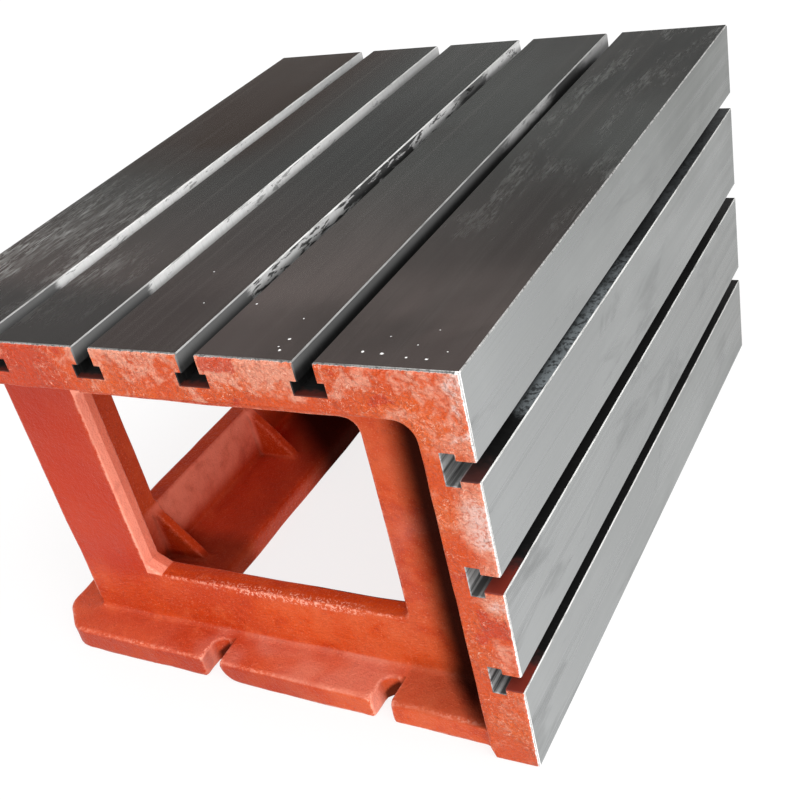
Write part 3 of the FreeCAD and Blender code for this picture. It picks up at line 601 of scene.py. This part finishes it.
def slot_metal(name, side):
    """Milled slot walls: near white where clean and lit, which is a painted highlight; dark under oil and as painted
    shade deeper in the slot; oversprayed at the near end.
    """
    N = Nodes(name)
    x, y, z = N.xyz()
    ticks = N.noise(N.mapped((60.0, 300.0 if side else 420.0, 60.0)), 1.0, 2.0, 0.6)
    hatch = N.node("ShaderNodeMapping", {"Vector": N.co, "Rotation": (0.9, 0.0, 0.0), "Scale": (80.0, 46.0, 230.0)})
    mott = N.noise(hatch.outputs[0], 1.0, 4.0, 0.66, 0.5)
    drift = N.noise(N.mapped((3.0, 12.0, 3.0)), 1.0, 2.0, 0.5)
    if side:
        stripes = N.noise(N.mapped((190.0, 4.0, 190.0)), 1.0, 2.0, 0.6)
        clean_and_lit = N.math("MULTIPLY", N.ramp(x, 0.2835, 0.2825), N.ramp(stripes, 0.38, 0.62, 0.14, 0.62))
        clean_and_lit = N.math("MULTIPLY", clean_and_lit, N.ramp(y, -0.30, -0.34))
        # grey film with specks in the neck of the upper slot
        border = N.math("ADD", y, N.math("MULTIPLY", N.math("SUBTRACT", N.noise(N.co, 150.0, 4.0, 0.7), 0.5), 0.04))
        film = N.math("MULTIPLY", N.ramp(z, 0.26, 0.30), N.ramp(border, -0.291, -0.270))
        film = N.math("MULTIPLY", film, N.ramp(y, -0.10, 0.06, 1.0, 0.35))
        film = N.math("MULTIPLY", film, N.ramp(drift, 0.40, 0.60, 0.55, 1.0))
        film = N.math("MULTIPLY", film, N.ramp(N.noise(N.co, 240.0, 3.0, 0.7), 0.42, 0.50, 0.35, 1.0))
        film = N.math("MULTIPLY", film, N.ramp(x, 0.282, 0.292))
        dull = N.mix(film, srgb(62, 62, 62), srgb(138, 145, 148))
        white = srgb(225, 226, 226)
        metal = N.mixf(N.math("MAXIMUM", clean_and_lit, film), 0.85, 0.20)
    else:
        # brightness of the neck walls, clean metal with painted light on it: clean in the two left slots, patchy in
        # the third, a dark film in the right one; dull for the first hundred millimetres of each; darker with depth
        # into the slot as painted shade
        fall = N.math("POWER", N.ramp(z, 0.3985, 0.4125), 1.5)
        two = N.ramp(x, 0.0, -0.01)
        four = N.ramp(x, 0.10, 0.12)
        three = N.math("SUBTRACT", N.math("SUBTRACT", 1.0, two), four)
        age = N.ramp(y, -0.06, 0.36, 0.97, 0.46, smooth=False)
        nick = N.ramp(N.math("ADD", mott, N.math("MULTIPLY", drift, 0.55)), 0.60, 0.66, 0.45, 1.0)
        lone = N.math("MULTIPLY", N.math("MULTIPLY", age, nick), N.ramp(fall, 0.0, 1.0, 0.45, 1.0))
        marks = N.math("ADD", N.math("MULTIPLY", mott, 1.0), N.math("MULTIPLY", drift, 0.75))
        marks = N.math("SUBTRACT", marks, N.ramp(y, 0.06, -0.04, 0.0, 0.035))
        spots = N.ramp(marks, 0.815, 0.865, 0.07, 0.74)
        wave = N.math("ADD", y, N.math("MULTIPLY", N.math("SUBTRACT", mott, 0.5), 0.12))
        blot = N.math("MULTIPLY", N.ramp(wave, 0.165, 0.205), N.ramp(wave, 0.285, 0.250))
        spots = N.math("MULTIPLY", spots, N.math("SUBTRACT", 1.0, N.math("MULTIPLY", blot, 0.80)))
        spots = N.math("MULTIPLY", spots, N.ramp(fall, 0.0, 1.0, 0.25, 1.0))
        film = N.math("MULTIPLY", N.ramp(wave, 0.040, 0.090), N.ramp(wave, 0.200, 0.160))
        film = N.math("MAXIMUM", film, N.ramp(y, 0.275, 0.300, 0.0, 0.45))
        film = N.math("MULTIPLY", film, N.ramp(mott, 0.34, 0.50, 0.35, 1.0))
        film = N.math("ADD", N.math("MULTIPLY", film, 0.42), 0.13)
        film = N.math("MULTIPLY", film, N.math("SUBTRACT", 1.0, N.math("MULTIPLY", blot, 0.55)))
        film = N.math("MULTIPLY", film, fall)
        back = N.ramp(N.math("ADD", y, N.math("MULTIPLY", mott, 0.02)), -0.256, -0.246)
        front = N.math("ADD", N.math("MULTIPLY", fall, 0.15), 0.035)
        bright = N.math("ADD", N.math("MULTIPLY", two, lone), N.math("MULTIPLY", three, spots))
        bright = N.mixf(back, front, bright)
        bright = N.mixf(four, bright, film)
        clean_and_lit = N.math("MULTIPLY", bright, N.ramp(z, 0.394, 0.399))
        dull = srgb(42, 42, 42)
        white = (1.0, 1.0, 0.995, 1.0)
        metal = N.ramp(clean_and_lit, 0.0, 0.10, 0.60, 0.10)
    col = N.mix(clean_and_lit, dull, white)
    col = N.mix(N.ramp(ticks, 0.5, 0.3, 0.0, 0.12), col, srgb(110, 110, 108))
    rough = N.mixf(clean_and_lit, 0.42, 0.55)
    h = N.math("ADD", N.math("MULTIPLY", ticks, 0.08), N.math("MULTIPLY", mott, 0.10))
    # overspray
    spot = N.noise(N.co, 150.0, 4.0, 0.7)
    if side:
        up = N.math("ABSOLUTE", N.node("ShaderNodeSeparateXYZ", {
            0: N.node("ShaderNodeNewGeometry").outputs["True Normal"]}).outputs[2])
        reach = N.math("ADD", y, N.math("MULTIPLY", N.math("SUBTRACT", spot, 0.5), 0.05))
        reach = N.math("ADD", reach, N.ramp(z, 0.26, 0.30, 0.0, 0.014))
        red = N.math("MULTIPLY", N.ramp(reach, -0.318, -0.356), N.ramp(up, 0.4, 0.6))
        red = N.math("MULTIPLY", red, N.ramp(x, 0.280, 0.283))
        red = N.math("MULTIPLY", red, N.ramp(z, 0.24, 0.29, 1.0, 0.45))
        col = N.mix(red, col, srgb(120, 42, 30))
    else:
        reach = N.math("ADD", y, N.math("MULTIPLY", N.math("SUBTRACT", spot, 0.5), 0.02))
        red = N.math("MULTIPLY", N.ramp(reach, -0.364, -0.371), N.ramp(z, 0.3865, 0.3855))
        col = N.mix(N.math("MULTIPLY", red, 0.8), col, srgb(84, 28, 18))
    metal = N.math("MULTIPLY", metal, N.math("SUBTRACT", 1.0, red))
    p = N.node("ShaderNodeBsdfPrincipled", {"Base Color": col, "Roughness": rough, "Metallic": metal,
                                            "Normal": N.bump(h, 0.001)})
    return N.done(p.outputs[0])


def slot_lip():
    """The small chamfers along the slots, rubbed bright; duller along the right top slot."""
    N = Nodes("slot_lip")
    x, y, z = N.xyz()
    rub = N.noise(N.mapped((300.0, 34.0, 300.0)), 1.0, 4.0, 0.65)
    col = N.mix(N.ramp(rub, 0.34, 0.52), srgb(176, 176, 174), srgb(240, 240, 238))
    worn = N.math("MULTIPLY", N.ramp(x, 0.10, 0.12), N.ramp(x, 0.24, 0.22))
    worn = N.math("MAXIMUM", N.math("MULTIPLY", worn, 0.75), N.ramp(y, -0.10, 0.30, 0.0, 0.45))
    worn = N.math("MAXIMUM", worn, N.math("MULTIPLY", N.ramp(y, -0.235, -0.262, 0.0, 0.62), N.ramp(z, 0.405, 0.410)))
    col = N.mix(worn, col, srgb(140, 140, 139))
    rough = N.ramp(rub, 0.3, 0.7, 0.50, 0.36)
    metal = N.ramp(rub, 0.3, 0.7, 0.40, 0.20)
    p = N.node("ShaderNodeBsdfPrincipled", {"Base Color": col, "Roughness": rough, "Metallic": metal,
                                            "Normal": N.bump(rub, 0.0001)})
    return N.done(p.outputs[0])


def bright_edge():
    """Chamfers: bare bright metal, with paint creeping over the lower part at the plate ends."""
    N = Nodes("edge_bare")
    x, y, z = N.xyz()
    col, rough_p, nrm = end_paint_parts(N)
    nick = N.noise(N.co, 260.0, 4.0, 0.7)
    bare = N.mix(N.ramp(nick, 0.36, 0.52), srgb(150, 148, 146), srgb(232, 232, 230))
    ay = N.math("ABSOLUTE", y)
    low = N.math("ADD", ay, N.math("MULTIPLY", N.math("SUBTRACT", nick, 0.5), 0.0024))
    side = N.math("MULTIPLY", N.ramp(x, 0.2955, 0.2965), N.ramp(ay, 0.3700, 0.3715))
    low = N.math("SUBTRACT", low, N.math("MULTIPLY", side, 0.0003))
    cover = N.ramp(low, 0.3732, 0.3738)
    # painted highlight: the side plate's chamfers are made near white and hardly metallic
    bare = N.mix(side, bare, N.mix(N.ramp(nick, 0.30, 0.44), srgb(214, 214, 212), srgb(255, 254, 252)))
    col = N.mix(cover, bare, col)
    metal = N.math("MULTIPLY", N.ramp(cover, 0.0, 1.0, 0.75, 0.0), N.ramp(side, 0.0, 1.0, 1.0, 0.1))
    rough = N.ramp(nick, 0.3, 0.7, 0.42, 0.30)
    p = N.node("ShaderNodeBsdfPrincipled", {"Base Color": col, "Roughness": rough, "Metallic": metal,
                                            "Normal": nrm})
    return N.done(p.outputs[0])


paint = cast_paint()
paint_end = end_paint()
planed_top = planed("planed_top", True)
planed_side = planed("planed_side", False)
slot_top = slot_metal("slot_top", False)
slot_side = slot_metal("slot_side", True)
edge_bare = bright_edge()
lip_bare = slot_lip()

# ---------------------------------------------------------------------------
# The cast part
# ---------------------------------------------------------------------------
gx = spaced([(-305, 2.8), (-246, 3.4), (-216, 5.0), (-170, 2.6), (-134, 7.5), (-94, 2.8), (-46, 8.5),
             (112, 2.8), (166, 7.5), (234, 3.2), (264, None)], (-253, -228, -161, -140, 156))
gy = spaced([(-369, 2.7), (-280, 6.5), (-224, 2.8), (-196, 9.0), (-12, 2.8), (12, 9.0), (196, 3.4),
             (224, 7.0), (280, 3.6), (369, None)], (-311, -287, 287, 311))
gz = spaced([(-4.5, 2.5), (42, 6.5), (86, 2.6), (110, 9.0), (300, 2.9), (326, 7.5), (354, 2.8), (379, None)],
            (28, 320))
v, q = surface_nets(cast, gx, gy, gz)
v, nrm = settle(cast, v)
v[:, 2] = np.maximum(v[:, 2], 0.0)
castobj = new_mesh("cast_body", v * MM, q, [paint], smooth=np.ones(len(q), bool))
if len(castobj.data.vertices) == len(nrm):
    castobj.data.normals_split_custom_set_from_vertices([tuple(n) for n in nrm])
print("cast body", len(v), "verts", len(q), "quads")

# ---------------------------------------------------------------------------
# The two plates, an L-shaped section with its T-slots
# ---------------------------------------------------------------------------
PAINT, TOPF, SIDEF, SLOT, SLOT2, EDGE, LIP = 0, 1, 2, 3, 4, 5, 6
pts = []          # (x, z, kind of the segment that starts here)


def put(x, z, kind):
    pts.append((x, z, kind))


put(-HW + 1, H, "top")
for c in TOP_X:
    put(c - 10, H, "lip")
    put(c - 9, H - 1, "slot")
    put(c - 9, H - 18, "slot")
    put(c - 15, H - 18, "slot")
    put(c - 15, H - 30, "slot")
    put(c + 15, H - 30, "slot")
    put(c + 15, H - 18, "slot")
    put(c + 9, H - 18, "slot")
    put(c + 9, H - 1, "lip")
    put(c + 10, H, "top")
put(HW - 1, H, "edge")
put(HW, H - 1, "side")
for c in SIDE_Z:
    put(HW, c + 10, "lip")
    put(HW - 1, c + 9, "slot")
    put(HW - 18, c + 9, "slot")
    put(HW - 18, c + 15, "slot")
    put(HW - 30, c + 15, "slot")
    put(HW - 30, c - 15, "slot")
    put(HW - 18, c - 15, "slot")
    put(HW - 18, c - 9, "slot")
    put(HW - 1, c - 9, "lip")
    put(HW, c - 10, "side")
put(HW, 1.0, "edge")
put(HW - 1, 0.0, "paint")
put(IX + 4, 0.0, "paint")
put(IX, 13.0, "paint")
for k in range(0, 9):
    a = math.radians(90.0 * k / 8.0)
    put(IX - 19 + 19 * math.cos(a), IZ - 19 + 19 * math.sin(a), "paint")
put(-HW, IZ, "paint")
put(-HW, H - 1, "edge")

# long painted runs are divided, so that their ends can be uneven
fine_pts = []
for i, (x, z, kind) in enumerate(pts):
    x2, z2, _ = pts[(i + 1) % len(pts)]
    length = math.hypot(x2 - x, z2 - z)
    n = max(1, int(round(length / 5.0))) if kind == "paint" else 1
    for k in range(n):
        fine_pts.append((x + (x2 - x) * k / n, z + (z2 - z) * k / n, kind, 0.0 if k == 0 else 1.0))
# the outline above runs clockwise seen from the near end
P = np.array([(a, b) for a, b, _, _ in fine_pts])
kinds = [c for _, _, c, _ in fine_pts]
n = len(P)
nxt = np.roll(P, -1, 0)
seg = nxt - P
seg /= np.linalg.norm(seg, axis=1)[:, None]
inward = np.stack([seg[:, 1], -seg[:, 0]], 1)      # right-hand side of the run is solid

RING = 6
SIZE = {"paint": 2.6, "top": 3.0, "side": 3.0, "slot": 0.7, "edge": 2.0, "lip": 1.9}


def ring_offsets(k, sign):
    t = k / (RING - 1.0)
    e = np.zeros(n)
    yy = np.zeros(n)
    for i, kind in enumerate(kinds):
        r = SIZE[kind]
        if kind == "paint":
            r = r + 1.0 * float(vnoise(P[i, 0], sign * 40.0, P[i, 1], 23.0, 2.0))
            e[i] = r * (1.0 - math.sin(t * math.pi / 2))
            yy[i] = r * (1.0 - math.cos(t * math.pi / 2))
        elif kind == "lip":
            et, es = 3.0 * (1 - t), 0.7 * (1 - t)
            e[i] = max(0.0, 0.7071 * (et + es - 1.0))
            yy[i] = 1.9 * t
        elif kind == "edge":
            et = 3.0 * (1 - t)
            e[i] = max(0.0, 0.7071 * (2 * et - 1.0)) if t < 1 else 0.0
            yy[i] = 3.0 * t
        else:
            e[i] = r * (1 - t)
            yy[i] = r * t
    return e, yy


rings = []
for sign in (-1, 1):
    for k in (range(RING) if sign < 0 else range(RING - 1, -1, -1)):
        e, yy = ring_offsets(k, sign)
        ring = np.zeros((n, 3))
        for i in range(n):
            j = (i - 1) % n
            n0, n1 = inward[j], inward[i]
            det = n0[0] * n1[1] - n0[1] * n1[0]
            if abs(det) > 0.05:
                vx = (e[j] * n1[1] - e[i] * n0[1]) / det
                vz = (n0[0] * e[i] - n1[0] * e[j]) / det
            else:
                m = (n0 + n1) / 2
                vx, vz = m * (e[i] + e[j]) / 2
            dep = (yy[i] + yy[j]) / 2
            if kinds[i] == "paint" and kinds[j] == "paint":
                dep += 0.35 * float(vnoise(P[i, 0], sign * 11.0, P[i, 1], 15.0, 4.0))
            ring[i] = (P[i, 0] + vx, sign * (HD - max(dep, 0.0)), P[i, 1] + vz)
        rings.append(ring)
verts = np.concatenate(rings)
faces, fmat = [], []
MAT = {"paint": PAINT, "top": TOPF, "edge": EDGE, "side": SIDEF, "slot": SLOT, "lip": LIP}
R = len(rings)
for k in range(R - 1):
    for i in range(n):
        j = (i + 1) % n
        faces.append((k * n + i, k * n + j, (k + 1) * n + j, (k + 1) * n + i))
        m = MAT[kinds[i]]
        if m == SLOT and P[i, 0] > IX + 10 and P[i, 1] < IZ + 10:
            m = SLOT2
        if m in (TOPF, SIDEF) and k != RING - 1:
            m = EDGE
        fmat.append(m)
faces.append(tuple(range(n - 1, -1, -1)))
fmat.append(PAINT)
faces.append(tuple((R - 1) * n + i for i in range(n)))
fmat.append(PAINT)
plates = new_mesh("machined_plates", verts * MM, faces, [paint_end, planed_top, planed_side, slot_top, slot_side, edge_bare, lip_bare], fmat)
bm = bmesh.new()
bm.from_mesh(plates.data)
bmesh.ops.remove_doubles(bm, verts=bm.verts, dist=2e-5)
bmesh.ops.recalc_face_normals(bm, faces=bm.faces)
vol = bm.calc_volume(signed=True)
if vol < 0:
    bmesh.ops.reverse_faces(bm, faces=bm.faces)
bm.to_mesh(plates.data)
bm.free()
plates.data.polygons.foreach_set("use_smooth", np.ones(len(plates.data.polygons), bool))
plates.data.set_sharp_from_angle(angle=math.radians(24))
print("plates", len(plates.data.vertices), "volume", vol)

for ob in (castobj, plates):
    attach(ob, "root")
    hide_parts("table_casting")

# ---------------------------------------------------------------------------
# Camera, floor and light
# ---------------------------------------------------------------------------
cam_data = bpy.data.cameras.new("camera")
cam = bpy.data.objects.new("camera", cam_data)
bpy.context.scene.collection.objects.link(cam)
cam_data.sensor_fit = "HORIZONTAL"
cam_data.sensor_width = 36.0
cam_data.lens = 53.8134
cam_data.shift_x = 0.0
cam_data.shift_y = 0.125
cam_data.clip_start = 0.05
cam_data.clip_end = 400.0
rot = Matrix(((0.876109, -0.111093, 0.469139), (0.436488, 0.595981, -0.674006), (-0.20472, 0.795277, 0.570635)))
cam.matrix_world = Matrix.Translation(Vector((667.71, -1011.24, 831.78)) * MM) @ rot.to_4x4()
bpy.context.scene.camera = cam

floor_mat = Nodes("floor_pale")
fp = floor_mat.node("ShaderNodeBsdfPrincipled", {"Base Color": (0.17, 0.17, 0.17, 1.0), "Roughness": 0.8})
fp.inputs["Emission Color"].default_value = (1.0, 1.0, 1.0, 1.0)
fp.inputs["Emission Strength"].default_value = 0.81
floor_mat = floor_mat.done(fp.outputs[0])
floor = new_mesh("floor", [(-80, -80, 0), (80, -80, 0), (80, 80, 0), (-80, 80, 0)], [(0, 1, 2, 3)], [floor_mat])

# a studio that is bright in front and on the right, dim behind and on the left
world = bpy.data.worlds.new("studio")
bpy.context.scene.world = world
world.use_nodes = True
wt = world.node_tree
bg = wt.nodes["Background"]
wco = wt.nodes.new("ShaderNodeTexCoord")
dot = wt.nodes.new("ShaderNodeVectorMath")
dot.operation = "DOT_PRODUCT"
dot.inputs[1].default_value = (0.50, -0.82, 0.28)
wt.links.new(wco.outputs["Generated"], dot.inputs[0])
grade = wt.nodes.new("ShaderNodeMapRange")
grade.interpolation_type = "SMOOTHSTEP"
grade.inputs["From Min"].default_value = -0.1
grade.inputs["From Max"].default_value = 0.85
grade.inputs["To Min"].default_value = 0.17
grade.inputs["To Max"].default_value = 0.66
wt.links.new(dot.outputs["Value"], grade.inputs["Value"])
# a pale band runs round the horizon, like a studio's curved backdrop
height = wt.nodes.new("ShaderNodeSeparateXYZ")
wt.links.new(wco.outputs["Generated"], height.inputs[0])
band = wt.nodes.new("ShaderNodeMapRange")
band.interpolation_type = "SMOOTHSTEP"
band.inputs["From Min"].default_value = 0.19
band.inputs["From Max"].default_value = 0.07
band.inputs["To Min"].default_value = 0.0
band.inputs["To Max"].default_value = 1.0
wt.links.new(height.outputs[2], band.inputs["Value"])
level = wt.nodes.new("ShaderNodeMath")
level.operation = "MAXIMUM"
wt.links.new(grade.outputs["Result"], level.inputs[0])
wt.links.new(band.outputs["Result"], level.inputs[1])
wt.links.new(level.outputs[0], bg.inputs[1])
bg.inputs[0].default_value = (1.0, 0.985, 0.97, 1.0)


def sun(name, towards, energy, angle):
    d = bpy.data.lights.new(name, "SUN")
    d.energy = energy
    d.angle = math.radians(angle)
    o = bpy.data.objects.new(name, d)
    o.rotation_euler = Vector(towards).to_track_quat("Z", "Y").to_euler()
    o.location = Vector(towards) * 3.0
    bpy.context.scene.collection.objects.link(o)
    return o


sun("key", (0.68, -0.38, 0.63), 2.1, 60)
sun("overhead", (0.10, -0.05, 0.99), 1.5, 60).visible_glossy = False
sun("glint", (-0.46, -0.86, 0.20), 0.42, 36)
sun("front", (0.36, -0.89, 0.28), 0.30, 20)

scene = bpy.context.scene
scene.view_settings.view_transform = "Standard"
scene.view_settings.look = "None"
scene.view_settings.exposure = 0.0
scene.view_settings.gamma = 1.0
